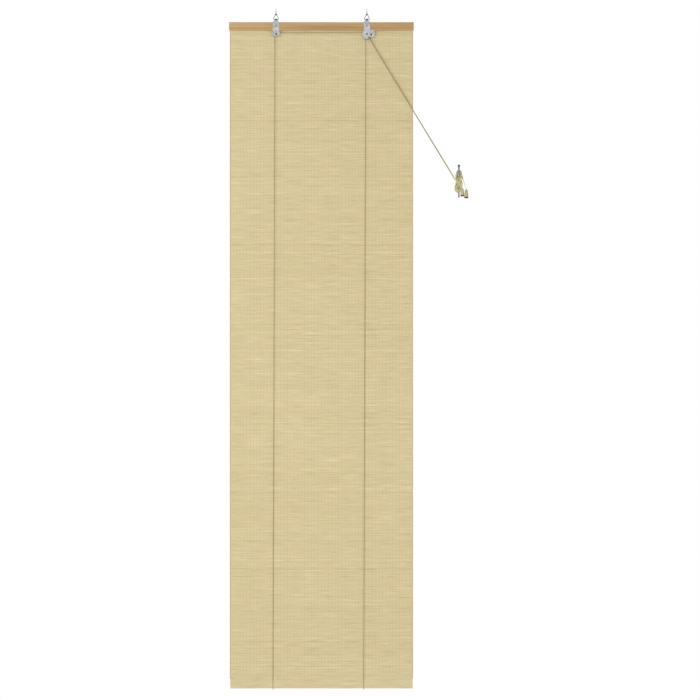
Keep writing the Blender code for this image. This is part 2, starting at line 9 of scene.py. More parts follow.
import bmesh
import bpy
import numpy as np
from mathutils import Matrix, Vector


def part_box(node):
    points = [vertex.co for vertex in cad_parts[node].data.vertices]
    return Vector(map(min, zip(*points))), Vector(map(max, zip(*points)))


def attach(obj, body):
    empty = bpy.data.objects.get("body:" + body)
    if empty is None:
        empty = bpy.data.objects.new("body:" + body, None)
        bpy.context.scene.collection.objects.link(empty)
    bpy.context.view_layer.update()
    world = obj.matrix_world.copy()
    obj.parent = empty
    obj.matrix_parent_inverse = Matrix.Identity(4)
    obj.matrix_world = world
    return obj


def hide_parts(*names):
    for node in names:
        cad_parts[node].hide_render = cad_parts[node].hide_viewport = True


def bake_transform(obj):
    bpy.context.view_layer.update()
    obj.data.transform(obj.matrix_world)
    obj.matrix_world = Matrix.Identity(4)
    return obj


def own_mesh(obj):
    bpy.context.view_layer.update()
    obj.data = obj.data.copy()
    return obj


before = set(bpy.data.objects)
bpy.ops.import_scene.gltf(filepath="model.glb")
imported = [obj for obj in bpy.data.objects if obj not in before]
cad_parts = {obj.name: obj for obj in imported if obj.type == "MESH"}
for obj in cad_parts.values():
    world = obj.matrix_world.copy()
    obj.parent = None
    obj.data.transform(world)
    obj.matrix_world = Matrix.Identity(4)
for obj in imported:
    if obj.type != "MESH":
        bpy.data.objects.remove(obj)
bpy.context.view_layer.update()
rng = random.Random(11)

# ---------------------------------------------------------------- sizes
RISE = 2.030           # the lift's travel
GROWTH = 0.056         # how much thicker the roll is once it is full
RAIL_LOW, RAIL_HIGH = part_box("head_rail")
CURTAIN_LOW, CURTAIN_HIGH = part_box("curtain")
CURTAIN_HALF = CURTAIN_HIGH.x - 0.0002
BINDING_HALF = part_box("right_edge_binding")[1].x
BINDING_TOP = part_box("right_edge_binding")[1].z
FRONT_Y, BACK_Y = CURTAIN_LOW.y, CURTAIN_HIGH.y
TOP_Z = CURTAIN_HIGH.z
HEM_BOTTOM_Z = CURTAIN_LOW.z + 0.0002
ROLL_REST_T = 0.0097
ROLL_R = (ROLL_REST_T + GROWTH) / 2
ROLL_Z = HEM_BOTTOM_Z + ROLL_R
SPLIT_Z = ROLL_Z + RISE + 0.004
CORD_R = 0.001
CORD_OFF = 0.0013      # a cord's centre from the face it lies on
STRAIGHT_STEPS = 60
HUG = 0.011            # height above the roll's middle where a back leg meets its sling
CLEAT_LOW, CLEAT_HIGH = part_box("cleat")
CLEAT = Vector(((CLEAT_LOW.x + CLEAT_HIGH.x) / 2, 0.0, -0.5614))
# cord routes, repeated from the CAD
LOCK_EXIT = {"a": (0.1543, -0.00875, -0.0846), "b": (0.1539, -0.00625, -0.0846)}
DRAW_END = {"a": (0.4398, -0.0062, -0.5510), "b": (0.4398, -0.0036, -0.5550)}
TAIL_START = {"a": (0.4630, -0.0120, -0.5550), "b": (0.4664, -0.0085, -0.5510)}
LEG_TOP = {"left": (-0.1535, -0.0075, -0.084), "right": (0.1460, -0.00625, -0.0946)}
LEG_X_LOW = {"left": -0.1602, "right": 0.1392}
BACK_TOP_Y, BACK_TOP_Z = 0.0032, -0.050
LEFT_PULLEY, LEFT_PITCH = (-0.1488, -0.0760), 0.0047
GUIDE_PULLEY, GUIDE_PITCH = (0.1500, -0.0753), 0.0040
CORD_Y_NEAR, CORD_Y_MID, CORD_Y_FAR = -0.00875, -0.0075, -0.00625
CORD_EXIT_Z = -0.0836


def set_camera():
    """Straight on, as in the photo, from far enough for its flat perspective."""
    cam = bpy.data.objects.new("camera", bpy.data.cameras.new("camera"))
    bpy.context.scene.collection.objects.link(cam)
    cam.data.lens = 110.0
    width = 2.3114
    distance = width * cam.data.lens / cam.data.sensor_width
    cam.location = (0.0943, -distance, -1.1177)
    cam.rotation_euler = (math.pi / 2, 0.0, 0.0)
    cam.data.clip_start, cam.data.clip_end = 0.1, 60.0
    bpy.context.scene.camera = cam


set_camera()


# ---------------------------------------------------------------- materials
def linear(r, g, b):
    def one(c):
        c /= 255
        return c / 12.92 if c <= 0.04045 else ((c + 0.055) / 1.055) ** 2.4
    return (one(r), one(g), one(b), 1.0)


class Look:
    """A material with short calls for its nodes."""

    def __init__(self, name, roughness=0.6, metallic=0.0, coat=0.0):
        self.mat = bpy.data.materials.new(name)
        self.mat.use_nodes = True
        self.tree = self.mat.node_tree
        self.shader = self.tree.nodes["Principled BSDF"]
        self.shader.inputs["Roughness"].default_value = roughness
        self.shader.inputs["Metallic"].default_value = metallic
        if coat:
            self.shader.inputs["Coat Weight"].default_value = coat
            self.shader.inputs["Coat Roughness"].default_value = 0.25

    def node(self, kind, settings=None, **sockets):
        n = self.tree.nodes.new("ShaderNode" + kind)
        for key, value in (settings or {}).items():
            setattr(n, key, value)
        for key, value in sockets.items():
            self.join(value, n.inputs[key.replace("_", " ")])
        return n

    def join(self, value, socket):
        if isinstance(value, bpy.types.NodeSocket):
            self.tree.links.new(value, socket)
        else:
            socket.default_value = value

    def place(self, scale=(1.0, 1.0, 1.0), source="Object"):
        coords = self.node("TexCoord").outputs[source]
        return self.node("Mapping", Vector=coords, Scale=scale).outputs[0]

    def noise(self, vector, scale, detail=3.0, rough=0.55):
        n = self.node("TexNoise", Vector=vector, Scale=scale, Detail=detail, Roughness=rough)
        return n.outputs["Fac"]

    def math(self, op, a, b=0.0, clamp=False):
        n = self.node("Math", {"operation": op, "use_clamp": clamp})
        self.join(a, n.inputs[0])
        self.join(b, n.inputs[1])
        return n.outputs[0]

    def ramp(self, fac, stops):
        n = self.node("ValToRGB", Fac=fac)
        el = n.color_ramp.elements
        while len(el) < len(stops):
            el.new(0.5)
        for e, (pos, colour) in zip(el, stops):
            e.position, e.color = pos, colour
        return n.outputs[0]

    def mix(self, fac, a, b, blend="MIX"):
        n = self.node("Mix", {"data_type": "RGBA", "blend_type": blend})
        self.join(fac, n.inputs[0])
        self.join(a, n.inputs[6])
        self.join(b, n.inputs[7])
        return n.outputs[2]

    def colour(self, socket):
        self.join(socket, self.shader.inputs["Base Color"])

    def rough(self, fac, low, high):
        n = self.node("MapRange", Value=fac, To_Min=low, To_Max=high)
        self.join(n.outputs[0], self.shader.inputs["Roughness"])

    def bump(self, height, distance, strength=0.6):
        n = self.node("Bump", Height=height, Distance=distance, Strength=strength)
        self.join(n.outputs[0], self.shader.inputs["Normal"])


def bamboo_look():
    look = Look("bamboo_weave", roughness=0.6)
    tone = look.node("Attribute", {"attribute_name": "tone"}).outputs["Fac"]
    fibre = look.noise(look.place((9.0, 9.0, 1500.0)), 1.0, 4.0, 0.6)
    drift = look.noise(look.place((2.2, 1.0, 3.0)), 1.0, 2.0)
    streak = look.noise(look.place((16.0, 1.0, 240.0)), 1.0, 3.0)
    level = tone
    for pattern, share in ((fibre, 0.45), (streak, 1.5), (drift, 0.3)):
        swing = look.math("MULTIPLY", look.math("SUBTRACT", pattern, 0.5), share)
        level = look.math("ADD", level, swing)
    level = look.math("MAXIMUM", look.math("MINIMUM", level, 1.0), 0.0)
    base = look.ramp(level, [(0.0, linear(168, 148, 106)), (0.3, linear(190, 174, 133)),
                             (0.6, linear(200, 186, 146)), (1.0, linear(220, 207, 172))])
    patch = look.noise(look.place((14.0, 1.0, 20.0)), 1.0, 1.0)
    hue = look.mix(patch, linear(208, 182, 150), linear(196, 190, 138))
    warm = look.mix(0.4, base, hue)
    specks = look.node("TexVoronoi", Vector=look.place((26.0, 1.0, 90.0)), Scale=1.0)
    hit = look.math("LESS_THAN", specks.outputs["Distance"], 0.045)
    chosen = look.math("GREATER_THAN", look.noise(look.place((9.0, 1.0, 9.0)), 1.0, 0.0), 0.6)
    knots = look.math("MULTIPLY", look.math("MULTIPLY", hit, chosen), 0.55)
    look.colour(look.mix(knots, warm, linear(112, 84, 44)))
    look.rough(fibre, 0.5, 0.75)
    look.bump(fibre, 0.0002, 0.5)
    return look.mat


def wood_look(name, dark, mid, light, along, coat, band=22.0):
    """Turned or planed wood; along is the grain's axis."""
    look = Look(name, roughness=0.45, coat=coat)
    stretch = [90.0, 90.0, 90.0]
    stretch["XYZ".index(along)] = 3.0
    wide = [band, band, band]
    wide["XYZ".index(along)] = 1.1
    bands = look.noise(look.place(wide), 1.0, 3.0, 0.6)
    fibre = look.noise(look.place([s * 6 for s in stretch]), 1.0, 3.0, 0.6)
    level = look.math("ADD", look.math("MULTIPLY", bands, 0.8), look.math("MULTIPLY", fibre, 0.25))
    base = look.ramp(level, [(0.3, dark), (0.5, mid), (0.72, light)])
    pores = look.math("GREATER_THAN", look.noise(look.place([s * 10 for s in stretch]), 1.0), 0.66)
    look.colour(look.mix(look.math("MULTIPLY", pores, 0.25), base, dark))
    look.rough(fibre, 0.35, 0.55)
    look.bump(fibre, 0.0002, 0.35)
    return look.mat


def metal_look(name, dark, light, low, high, scale=160.0, tip=None):
    look = Look(name, metallic=1.0)
    cells = look.node("TexVoronoi", Vector=look.place(), Scale=scale).outputs["Color"]
    spangle = look.node("SeparateColor", Color=cells).outputs[0]
    haze = look.noise(look.place(), 60.0, 4.0, 0.6)
    fine = look.noise(look.place((900.0, 900.0, 90.0)), 1.0, 3.0)
    level = look.math("ADD", look.math("MULTIPLY", spangle, 0.45), look.math("MULTIPLY", haze, 0.6))
    base = look.mix(level, dark, light)
    if tip:
        height = look.node("SeparateXYZ", Vector=look.place()).outputs[2]
        over = look.node("MapRange", Value=height, From_Min=tip[0], From_Max=tip[0] + 0.003)
        base = look.mix(over.outputs[0], base, tip[1])
    look.colour(base)
    look.rough(look.math("ADD", look.math("MULTIPLY", haze, 0.6), look.math("MULTIPLY", fine, 0.4)),
               low, high)
    look.bump(fine, 0.00005, 0.3)
    return look.mat


def cord_look(name, dark, light, lit_tones=None):
    """Braid: two sets of strands wound opposite ways, from the tube's own UV. The one real cord
    gets a darker copy, painted shade, and a lighter copy, painted light; a cord given lit_tones
    turns to them over its last part before the cleat."""
    look = Look(name, roughness=0.85)
    uv = look.node("UVMap", {"uv_map": "braid"}).outputs[0]
    parts = look.node("SeparateXYZ", Vector=uv)
    along, around = parts.outputs[0], parts.outputs[1]
    strands = []
    for sign in (1.0, -1.0):
        phase = look.math("ADD", along, look.math("MULTIPLY", around, sign * 4.0))
        strands.append(look.math("SINE", look.math("MULTIPLY", phase, 2 * math.pi)))
    weave = look.math("MULTIPLY_ADD", look.math("MAXIMUM", *strands), 0.5)
    weave.node.inputs[2].default_value = 0.5
    fuzz = look.noise(look.place(), 900.0, 3.0, 0.6)
    level = look.math("ADD", look.math("MULTIPLY", weave, 0.75), look.math("MULTIPLY", fuzz, 0.3),
                      clamp=True)
    colour = look.mix(level, dark, light)
    if lit_tones:
        side = look.node("SeparateXYZ", Vector=look.place()).outputs[0]
        near = look.node("MapRange", Value=side, From_Min=LIT_CORD_X[0], From_Max=LIT_CORD_X[1])
        colour = look.mix(near.outputs[0], colour, look.mix(level, *lit_tones))
    look.colour(colour)
    look.shader.inputs["Sheen Weight"].default_value = 0.25
    look.bump(level, 0.0003, 0.7)
    return look.mat


def thread_look():
    look = Look("binding_thread", roughness=0.85)
    turns = look.node("TexWave", {"bands_direction": "Z"}, Vector=look.place(), Scale=160.0,
                      Distortion=1.5, Detail=2.0)
    fuzz = look.noise(look.place(), 700.0)
    level = look.math("ADD", look.math("MULTIPLY", turns.outputs["Fac"], 0.6),
                      look.math("MULTIPLY", fuzz, 0.4))
    look.colour(look.mix(level, linear(168, 150, 112), linear(206, 190, 150)))
    look.shader.inputs["Sheen Weight"].default_value = 0.2
    look.bump(level, 0.0003, 0.6)
    return look.mat


def plastic_look():
    look = Look("nylon", roughness=0.4)
    haze = look.noise(look.place(), 220.0, 3.0)
    look.colour(look.mix(haze, linear(206, 203, 190), linear(228, 226, 216)))
    look.rough(haze, 0.32, 0.5)
    look.bump(haze, 0.00005, 0.3)
    return look.mat


# Near-black colour for the tassels' lower rim and recess: painted shade.
def painted_shade_end_look():
    look = Look("tassel_painted_shade", roughness=0.7)
    grain = look.noise(look.place((300.0, 300.0, 60.0)), 1.0)
    look.colour(look.mix(grain, linear(10, 7, 3), linear(26, 18, 8)))
    look.bump(grain, 0.0002, 0.5)
    return look.mat


BAMBOO = bamboo_look()
RAIL = wood_look("rail_wood", linear(146, 110, 62), linear(178, 147, 99), linear(204, 174, 126),
                 "X", 0.15, 64.0)
TURNED = wood_look("turned_wood", linear(132, 108, 62), linear(172, 152, 104),
                   linear(196, 180, 136), "Z", 0.2)
ZINC = metal_look("zinc_plate", linear(146, 149, 148), linear(214, 217, 216), 0.24, 0.42)
WIRE = metal_look("plated_wire", linear(128, 131, 128), linear(176, 180, 178), 0.2, 0.34, 400.0)
RING = metal_look("ring_wire", linear(78, 82, 80), linear(128, 132, 130), 0.2, 0.34, 400.0)
DARK = metal_look("dark_wire", linear(44, 44, 46), linear(92, 92, 94), 0.25, 0.45, 300.0,
                  tip=(-0.003, linear(196, 198, 198)))
RIVET = metal_look("rivet_steel", linear(26, 32, 36), linear(58, 66, 74), 0.35, 0.55, 300.0)
# The cleat's upper end, above z -0.5135, is painted near black: painted shade where it curves away.
STEEL = metal_look("cleat_steel", linear(104, 110, 126), linear(156, 163, 180), 0.25, 0.42, 220.0,
                   tip=(-0.5135, linear(44, 44, 48)))
# One cord painted in two copies: every run off the cleat darker, painted shade, and the turns on
# the cleat lighter, painted light; the draw cords turn to the lit colours before the cleat.
LIT_CORD_X = (0.422, 0.443)
LIT_CORD_TONES = linear(128, 116, 56), linear(228, 220, 156)
SHADED_CORD = cord_look("braided_cord_shaded", linear(106, 94, 58), linear(178, 163, 116), LIT_CORD_TONES)
LIT_CORD = cord_look("wound_cord", *LIT_CORD_TONES)
THREAD = thread_look()
NYLON = plastic_look()
PAINTED_SHADE_END = painted_shade_end_look()


# ---------------------------------------------------------------- mesh helpers
def piece(name, verts, faces, material, tones=None, smooth=None):
    mesh = bpy.data.meshes.new(name)
    mesh.from_pydata(verts, [], faces)
    mesh.update()
    mesh.materials.append(material)
    if tones:
        mesh.attributes.new("tone", "FLOAT", "POINT").data.foreach_set("value", tones)
    if smooth is not None:
        mesh.shade_smooth()
        mesh.set_sharp_from_angle(angle=math.radians(smooth))
    ob = bpy.data.objects.new(name, mesh)
    bpy.context.scene.collection.objects.link(ob)
    return ob


def closed_grid(rows, columns, wrap):
    """Faces of a rows by columns grid of points; with wrap, each row closes on itself."""
    faces = []
    for r in range(rows - 1):
        for c in range(columns if wrap else columns - 1):
            d = (c + 1) % columns
            faces.append((r * columns + c, r * columns + d, (r + 1) * columns + d,
                          (r + 1) * columns + c))
    return faces


BRAID_PITCH = 0.0045


def tube_mesh(name, path, radius, material, sides=12):
    """A round cord along path, closed by flat ends, with a UV for the braid."""
    points = [Vector(p) for p in path]
    tangents = []
    for i in range(len(points)):
        a, b = points[max(i - 1, 0)], points[min(i + 1, len(points) - 1)]
        tangents.append((b - a).normalized())
    side = tangents[0].orthogonal().normalized()
    verts, along, run = [], [], 0.0
    for i, (p, t) in enumerate(zip(points, tangents)):
        side = (side - t * side.dot(t)).normalized()
        other = t.cross(side)
        if i:
            run += (p - points[i - 1]).length
        along.append(run)
        for k in range(sides):
            angle = 2 * math.pi * k / sides
            verts.append(p + (side * math.cos(angle) + other * math.sin(angle)) * radius)
    faces = closed_grid(len(points), sides, True)
    last = (len(points) - 1) * sides
    faces.append(tuple(range(sides))[::-1])
    faces.append(tuple(range(last, last + sides)))
    ob = piece(name, verts, faces, material, smooth=50)
    layer = ob.data.uv_layers.new(name="braid")
    for poly in ob.data.polygons:
        rows = {v // sides for v in poly.vertices}
        wraps = len(rows) == 2 and {v % sides for v in poly.vertices} == {0, sides - 1}
        for loop in poly.loop_indices:
            v = ob.data.loops[loop].vertex_index
            turn = (v % sides) / sides
            if wraps and v % sides == 0:
                turn = 1.0
            layer.data[loop].uv = (along[v // sides] / BRAID_PITCH, turn)
    return ob


def lathe_mesh(name, profile, centre, material, count=48, smooth=40):
    """Turn (radius, height) about Z; the profile runs pole to pole."""
    verts, rows = [], []
    for radius, height in profile:
        if radius == 0.0:
            rows.append([len(verts)])
            verts.append((centre[0], centre[1], centre[2] + height))
            continue
        rows.append(list(range(len(verts), len(verts) + count)))
        for k in range(count):
            t = 2 * math.pi * k / count
            verts.append((centre[0] + radius * math.cos(t), centre[1] + radius * math.sin(t),
                          centre[2] + height))
    faces = []
    for low, high in zip(rows, rows[1:]):
        for i in range(count):
            j = (i + 1) % count
            if len(low) == 1:
                faces.append((low[0], high[i], high[j]))
            elif len(high) == 1:
                faces.append((low[j], low[i], high[0]))
            else:
                faces.append((low[j], low[i], high[i], high[j]))
    return piece(name, verts, faces, material, smooth=smooth)


def smooth_path(points, step):
    """A Catmull-Rom curve through points, sampled about every step."""
    pts = [Vector(p) for p in points]
    out = []
    for i in range(len(pts) - 1):
        p0, p1 = pts[max(i - 1, 0)], pts[i]
        p2, p3 = pts[i + 1], pts[min(i + 2, len(pts) - 1)]
        n = max(1, round((p2 - p1).length / step))
        for k in range(n):
            t = k / n
            out.append(0.5 * ((2 * p1) + (p2 - p0) * t + (2 * p0 - 5 * p1 + 4 * p2 - p3) * t * t
                              + (3 * p1 - p0 - 3 * p2 + p3) * t ** 3))
    out.append(pts[-1])
    return out


def smoothstep(s):
    s = min(max(s, 0.0), 1.0)
    return s * s * (3 - 2 * s)


# ---------------------------------------------------------------- cords
def straight(start, end):
    return [Vector(start).lerp(Vector(end), k / STRAIGHT_STEPS) for k in range(STRAIGHT_STEPS + 1)]


def draw_cord(key):
    """From inside the lock, round its lip and straight to the cleat."""
    start, end = Vector(LOCK_EXIT[key]), Vector(DRAW_END[key])
    inside = start + Vector((0.0, 0.0, 0.010))
    path = smooth_path([inside, start, start.lerp(end, 0.02), start.lerp(end, 0.04)], 0.0015)
    path += [start.lerp(end, 0.04 + 0.96 * k / STRAIGHT_STEPS)
             for k in range(1, STRAIGHT_STEPS + 1)]
    ob = tube_mesh(f"draw_cord_{key}_run", path, CORD_R, SHADED_CORD)
    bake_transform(ob)
    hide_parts(f"draw_cord_{key}")


# Each turn round a horn: half width, reach, y at its side and y behind the horn, in millimetres.
# The last ones sag in front of the lower horn.
LOWER_TURNS = {
    "a": ((8.6, 27.0, -4.0, 0.6), (11.4, 31.0, -4.0, 4.0), (10.0, 34.5, -5.0, 7.0),
          (9.0, 33.0, -15.0, -19.0)),
    "b": ((10.4, 29.0, -4.0, 2.4), (8.4, 32.5, -4.0, 5.6), (11.8, 36.0, -6.0, 9.0),
          (6.4, 36.5, -16.0, -20.5)),
}
UPPER_TURNS = {
    "a": ((7.4, 28.0, -4.0, 0.6), (9.4, 34.0, -4.0, 4.0), (8.0, 38.0, -6.0, 7.4)),
    "b": ((8.8, 31.0, -4.0, 2.4), (7.4, 36.0, -4.0, 5.8), (9.8, 40.0, -7.0, 9.2)),
}
# Places along a turn: parts of its half width and of its reach.
LOWER_SHAPE = ((1.12, 0.22), (1.06, 0.5), (0.66, 0.86), (0.0, 1.0), (-0.66, 0.86), (-1.06, 0.5),
               (-1.12, 0.22))
UPPER_SHAPE = ((1.16, 0.18), (1.04, 0.5), (0.66, 0.86), (0.0, 1.0), (-0.66, 0.86), (-1.04, 0.5),
               (-1.16, 0.18))
# Heights where the cords cross the bar on the way down and on the way up.
DOWN_AT = {"a": (-5.0, 8.0, -10.0, -8.0), "b": (-11.0, 4.0, -14.0, -3.0)}
UP_AT = {"a": (9.0, -7.0, 2.0, -14.0), "b": (-11.0, 11.0, -2.0, -9.0)}
FRONT_LAYER, LAYER = -9.2, -1.35   # y of the first crossing, and each next one's step
FLANK = 9.0                        # least height between a crossing and the cord beside it
CROSS_RUN, CROSS_CLIMB = 0.62, 4.5
UPPER_LEAN, LOWER_LEAN = 1.6, -3.4
TAIL_RISE = 8.0
SAG_SHARE = 0.45
# The solver that lays the turns beside each other.
TURN_GAP = 2.12                    # wanted distance between cord centres
WATCH = 1.5                        # pairs this much further apart are still followed
POINT_STEP = 1.25
SETTLE_ROUNDS, PAIR_ROUNDS = 150, 6
NEIGHBOURS = 7                     # points this near along one cord don't push each other
FIXED_POINTS = 5
LEAST_BEND = 5.2                   # radius that bends are opened towards
UNBEND_ROUNDS, UNBEND_ENDS = 60, 6


def front(layer):
    return FRONT_LAYER + LAYER * layer


def toward(side, other):
    return SAG_SHARE * side + (1 - SAG_SHARE) * other


def horn_turn(sign, turn, y_in, y_out):
    """Points of one turn round the upper (sign 1) or lower (sign -1) horn."""
    width, reach, side, back = turn
    mixed = (toward(side, y_in), side, toward(side, back), back, toward(side, back), side,
             toward(side, y_out))
    shape = UPPER_SHAPE if sign > 0 else LOWER_SHAPE
    lean = UPPER_LEAN if sign > 0 else LOWER_LEAN
    return [(u * width + lean * v * v, y, sign * v * reach) for (u, v), y in zip(shape, mixed)]


def cross(points, turn, height, y, way):
    """Carry the cord from one side of the bar to the other, over it at this height."""
    while len(points) > 3 and way * (height - points[-1][2]) < FLANK:
        points.pop()
    while way * (turn[0][2] - height) < FLANK:
        turn.pop(0)
    side = 1.0 if turn[0][0] > 0 else -1.0
    out = abs(turn[0][0])
    points.append((-side * out * CROSS_RUN, y, height - way * CROSS_CLIMB))
    points.append((0.0, y, height))
    points.append((side * out * CROSS_RUN, y, height + way * CROSS_CLIMB))
    points += turn


def wound_route(key):
    """From the draw cord's end, in figures of eight round the horns, to the tassel's top."""
    def local(point):
        return (np.array(point) - np.array(CLEAT)) * 1000

    arrive, pivot, top = local(DRAW_END[key]), local(TAIL_START[key]), local(TASSEL_TOP[key])
    heading = arrive - local(LOCK_EXIT[key])
    heading /= np.linalg.norm(heading)
    points = [arrive, arrive + heading * 4, arrive + heading * 8 + np.array((0.0, -1.2, 0.0))]
    for n, turn in enumerate(LOWER_TURNS[key]):
        cross(points, horn_turn(-1, turn, front(2 * n), front(2 * n + 1)), DOWN_AT[key][n],
              front(2 * n), -1)
        if n < len(UPPER_TURNS[key]):
            above = UPPER_TURNS[key][n]
            cross(points, horn_turn(1, above, front(2 * n + 1), front(2 * n + 2)),
                  UP_AT[key][n], front(2 * n + 1), 1)
    over = [(pivot[0] * 0.36, -20.5, pivot[2] + TAIL_RISE * 0.1),
            (pivot[0] * 0.72, -18.6, pivot[2] + TAIL_RISE),
            (pivot[0] * 1.02, pivot[1] * 0.75 - 4.3, pivot[2] + TAIL_RISE * 0.62)]
    cross(points, over, UP_AT[key][-1], front(7), 1)
    points += [pivot, pivot * 0.6 + top * 0.4, top * 0.85 + pivot * 0.15 + np.array((0, 0, 2.0)),
               top + np.array((0.0, 0.0, -0.8))]
    return np.array([tuple(p) for p in smooth_path([tuple(p) for p in points], 1.3)]), pivot


def resample(path, step):
    run = np.r_[0, np.cumsum(np.linalg.norm(np.diff(path, axis=0), axis=1))]
    at = np.linspace(0, run[-1], int(round(run[-1] / step)) + 1)
    return np.stack([np.interp(at, run, path[:, k]) for k in range(3)], axis=1)


BAR_HALF = 54.6
POST_HALF_X, POST_HALF_Z, POST_FRONT_Y = 4.6, 17.5, -4


def off_the_cleat(q, room):
    """Push points out of the bar, its horns and the post."""
    reach = np.clip(np.abs(q[:, 2]) / BAR_HALF, 0, 1)
    axis_y, radius = -4.0 - 7.0 * reach ** 2.5, 3.5 - 0.8 * reach + room
    d = np.stack([q[:, 0], q[:, 1] - axis_y], axis=1)
    dist = np.linalg.norm(d, axis=1) + 1e-9
    push = np.where(dist < radius, radius - dist, 0)
    q[:, 0] += d[:, 0] / dist * push
    q[:, 1] += d[:, 1] / dist * push
    dx = POST_HALF_X + room - np.abs(q[:, 0])
    dz = POST_HALF_Z + room - np.abs(q[:, 2])
    inside = (q[:, 1] > POST_FRONT_Y) & (dx > 0) & (dz > 0)
    aside, along = inside & (dx < dz), inside & (dx >= dz)
    q[aside, 0] += np.sign(q[aside, 0] + 1e-9) * dx[aside]
    q[along, 2] += np.sign(q[along, 2] + 1e-9) * dz[along]


def unbend(x, where, step):
    """Open bends tighter than LEAST_BEND by a step; a few stay tighter in the end."""
    most = step ** 2 / (2 * LEAST_BEND)
    sag = (x[where - 1] + x[where + 1]) / 2 - x[where]
    size = np.linalg.norm(sag, axis=1)[:, None] + 1e-9
    ease = sag * np.clip(1 - most / size, 0, None) * 0.5
    x[where] += ease
    x[where - 1] -= ease / 2
    x[where + 1] -= ease / 2


def settle(routes):
    """Let the turns push each other aside and off the cleat; in places two still overlap."""
    paths = [resample(path, POINT_STEP) for path, _ in routes]
    x = np.concatenate(paths)
    cord = np.repeat(np.arange(len(paths)), [len(q) for q in paths])
    index = np.concatenate([np.arange(len(q)) for q in paths])
    held = index < FIXED_POINTS
    for c, (_, pivot) in enumerate(routes):
        own = np.where(cord == c)[0]
        nearest = own[len(own) // 2:][np.argmin(
            np.linalg.norm(x[own[len(own) // 2:]] - pivot, axis=1))]
        held |= (cord == c) & (np.arange(len(x)) >= nearest)
    inner = np.zeros(len(x), bool)
    inner[1:-1] = (cord[2:] == cord[:-2]) & ~held[1:-1]
    where = np.where(inner)[0]
    for r in range(SETTLE_ROUNDS):
        if r % PAIR_ROUNDS == 0:
            far = np.linalg.norm(x[:, None] - x[None], axis=2)
            near_along = np.abs(index[:, None] - index[None]) < NEIGHBOURS
            far[(cord[:, None] == cord[None]) & near_along] = np.inf
            a, b = np.where(np.triu(far < TURN_GAP + WATCH))
        d = x[a] - x[b]
        dist = np.linalg.norm(d, axis=1) + 1e-9
        overlap = np.where(dist < TURN_GAP, (TURN_GAP - dist) * 0.5, 0)
        shove = overlap[:, None] * d / dist[:, None]
        move, count = np.zeros_like(x), np.ones(len(x))
        np.add.at(move, a, shove)
        np.add.at(move, b, -shove)
        np.add.at(count, a, dist < TURN_GAP)
        np.add.at(count, b, dist < TURN_GAP)
        x[~held] += (move / np.sqrt(count)[:, None])[~held]
        x[where] += 0.08 * ((x[where - 1] + x[where + 1]) / 2 - x[where])
        unbend(x, where, POINT_STEP)
        free = x[~held]
        off_the_cleat(free, 1.15)
        x[~held] = free
    for _ in range(4):
        x[where] += 0.3 * ((x[where - 1] + x[where + 1]) / 2 - x[where])
    smoothed = [resample(x[cord == c], POINT_STEP) for c in range(len(paths))]
    for path in smoothed:
        spacing = np.linalg.norm(np.diff(path, axis=0), axis=1).mean()
        inner_points = np.arange(UNBEND_ENDS, len(path) - UNBEND_ENDS)
        for _ in range(UNBEND_ROUNDS):
            unbend(path, inner_points, spacing)
        for _ in range(4):
            path[2:-2] += 0.3 * ((path[1:-3] + path[3:-1]) / 2 - path[2:-2])
    return smoothed


TASSEL_HEIGHT = 0.0269
# Heights and radius of the faces painted near black on each tassel: painted shade on the lower rim
# and in the recess.
SHADE_RIM_TOP, SHADE_RECESS_TOP, SHADE_RECESS_R = -0.0231, -0.017, 0.0054
TASSEL_TOP = {}
TASSEL_SIZE = {}
for cord_key in "ab":
    low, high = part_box(f"tassel_{cord_key}")
    TASSEL_TOP[cord_key] = ((low.x + high.x) / 2, (low.y + high.y) / 2, high.z)
    TASSEL_SIZE[cord_key] = (high.z - low.z) / TASSEL_HEIGHT
# Radius and height from the tassel's top, from the cord hole over the outside to the recess.
TASSEL = (
    (0.0, -0.0012), (0.0012, -0.0012), (0.0013, 0.0), (0.0026, 0.0), (0.0036, -0.0006),
    (0.0042, -0.0016), (0.0045, -0.0030), (0.0048, -0.0050), (0.0051, -0.0075), (0.0055, -0.0105),
    (0.0059, -0.0140), (0.0061, -0.0180), (0.0063, -0.0205), (0.0061, -0.0208), (0.0061, -0.0212),
    (0.0064, -0.0216), (0.0065, -0.0236), (0.0065, -0.0256), (0.0062, -0.0265), (0.0056, -0.0269),
    (0.0050, -0.0267), (0.0046, -0.0255), (0.0040, -0.0200), (0.0025, -0.0180), (0.0, -0.0178),
)


def tassel(key):
    """The turned body, its lower rim and its recess painted near black: painted shade."""
    top, size = TASSEL_TOP[key], TASSEL_SIZE[key]
    body = lathe_mesh(f"tassel_{key}_turned", [(r * size, h * size) for r, h in TASSEL], top,
                      TURNED)
    body.data.materials.append(PAINTED_SHADE_END)
    for poly in body.data.polygons:
        height = (poly.center.z - top[2]) / size
        out = (poly.center.xy - Vector(top).xy).length / size
        # painted shade: near black on the lower rim and inside the recess
        if height < SHADE_RIM_TOP or (height < SHADE_RECESS_TOP and out < SHADE_RECESS_R):
            poly.material_index = 1
    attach(body, f"tassel_{key}")
    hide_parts(f"tassel_{key}")
    return body


def wound_cords():
    """Both cords on the cleat, each with its tassel."""
    settled = settle([wound_route(key) for key in "ab"])
    for key, local in zip("ab", settled):
        path = [Vector(p) / 1000 + CLEAT for p in local]
        ob = tube_mesh(f"wound_cord_{key}", path, CORD_R, LIT_CORD)
        tassel(key)
        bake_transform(ob)
        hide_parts(f"tail_cord_{key}", "cord_hank")


for cord_key in "ab":
    draw_cord(cord_key)
wound_cords()


def squash_leg(ob):
    """Give a straight leg a mesh of its own."""
    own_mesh(ob)


